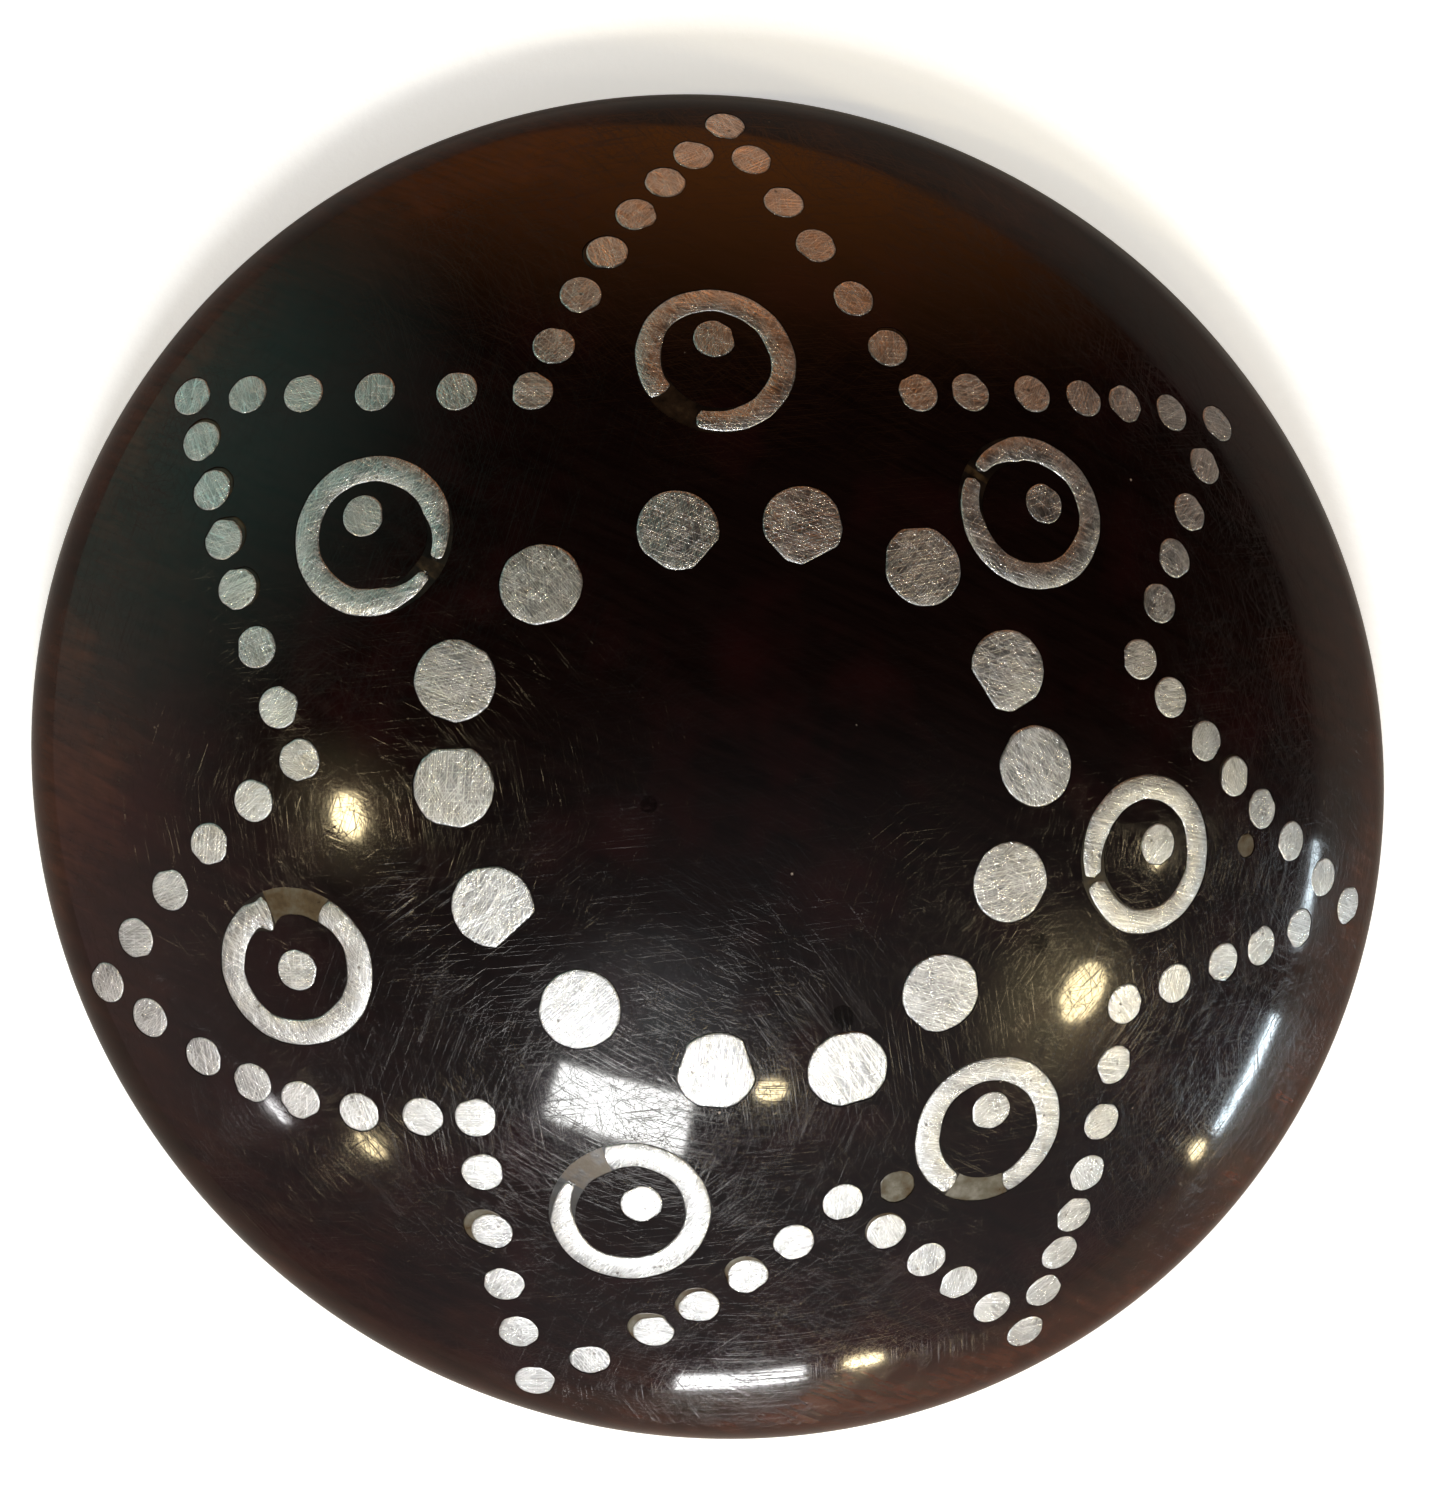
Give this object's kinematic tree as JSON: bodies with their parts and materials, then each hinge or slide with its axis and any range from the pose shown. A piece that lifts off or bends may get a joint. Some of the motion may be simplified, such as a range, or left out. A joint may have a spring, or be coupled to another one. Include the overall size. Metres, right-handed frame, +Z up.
{
  "type": "carved wooden bowl",
  "caption": "Shallow carved hardwood bowl, turned over on its rim, with a seven-pointed star of metal dots, discs and split rings let into its rounded outside.",
  "frame": {"origin": "middle of the bowl's outline, in the plane of the rim's flat face, on which the bowl rests turned over", "axes": "+Z up, out of the rounded outside of the bowl; +Y towards the star's top arm; +X to the right when looking down on the outside"},
  "size_m": [0.1116, 0.1096, 0.028],
  "materials": {
    "wood": "hand polished near-black hardwood, browner towards the rim, finely scratched",
    "disc_metal": "filed flush and scratched",
    "ring_metal": "filed flush and scratched",
    "dot_metal": "filed flush and scratched"
  },
  "bodies": {
    "root": {"bowl": "wood", "large_disc_01": "disc_metal", "large_disc_02": "disc_metal", "large_disc_03": "disc_metal", "large_disc_04": "disc_metal", "large_disc_05": "disc_metal", "large_disc_06": "disc_metal", "large_disc_07": "disc_metal", "large_disc_08": "disc_metal", "large_disc_09": "disc_metal", "large_disc_10": "disc_metal", "large_disc_11": "disc_metal", "large_disc_12": "disc_metal", "large_disc_13": "disc_metal", "large_disc_14": "disc_metal", "notch_dot_1": "dot_metal", "notch_dot_2": "dot_metal", "notch_dot_3": "dot_metal", "notch_dot_4": "dot_metal", "notch_dot_5": "dot_metal", "notch_dot_6": "dot_metal", "notch_dot_7": "dot_metal", "ring_1": "ring_metal", "ring_2": "ring_metal", "ring_3": "ring_metal", "ring_4": "ring_metal", "ring_5": "ring_metal", "ring_6": "ring_metal", "ring_7": "ring_metal", "ring_dot_1": "dot_metal", "ring_dot_2": "dot_metal", "ring_dot_3": "dot_metal", "ring_dot_4": "dot_metal", "ring_dot_5": "dot_metal", "ring_dot_6": "dot_metal", "ring_dot_7": "dot_metal", "side_dot_01": "dot_metal", "side_dot_02": "dot_metal", "side_dot_03": "dot_metal", "side_dot_04": "dot_metal", "side_dot_05": "dot_metal", "side_dot_06": "dot_metal", "side_dot_07": "dot_metal", "side_dot_08": "dot_metal", "side_dot_09": "dot_metal", "side_dot_10": "dot_metal", "side_dot_11": "dot_metal", "side_dot_12": "dot_metal", "side_dot_13": "dot_metal", "side_dot_14": "dot_metal", "tip_dot_1": "dot_metal", "tip_dot_2": "dot_metal", "tip_dot_3": "dot_metal", "tip_dot_4": "dot_metal", "tip_dot_5": "dot_metal", "tip_dot_6": "dot_metal", "tip_dot_7": "dot_metal"}
  },
  "joints": []
}
